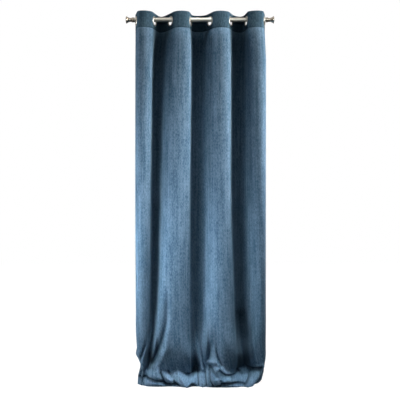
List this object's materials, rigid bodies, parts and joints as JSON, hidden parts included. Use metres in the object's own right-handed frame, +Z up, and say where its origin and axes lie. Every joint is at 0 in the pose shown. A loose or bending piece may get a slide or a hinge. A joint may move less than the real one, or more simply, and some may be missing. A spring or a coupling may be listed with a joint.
{
  "type": "blackout curtain on curtain rod",
  "caption": "Eyelet-top blackout curtain panel of blue velvet, hung in soft pleats from a plain metal rod with trumpet finials, its hem breaking on the floor.",
  "frame": {"origin": "middle of the rod's axis", "axes": "+X along the rod to the right as seen from the room, +Y to the wall, +Z up"},
  "size_m": [0.973, 0.2325, 2.4227],
  "materials": {
    "velvet": "short-pile polyester velvet with a soft sheen",
    "heading_velvet": "the same velvet, doubled over a stiffener and stitched at its foot",
    "eyelet_metal": "bright silver",
    "rod_metal": "satin nickel",
    "finial_metal": "polished nickel"
  },
  "bodies": {
    "root": {"panel": "velvet", "heading": "heading_velvet", "eyelet_1": "eyelet_metal", "eyelet_2": "eyelet_metal", "eyelet_3": "eyelet_metal", "eyelet_4": "eyelet_metal", "eyelet_5": "eyelet_metal", "eyelet_6": "eyelet_metal", "eyelet_7": "eyelet_metal", "eyelet_8": "eyelet_metal", "rod": "rod_metal", "finial_left": "finial_metal", "finial_right": "finial_metal"}
  },
  "joints": []
}
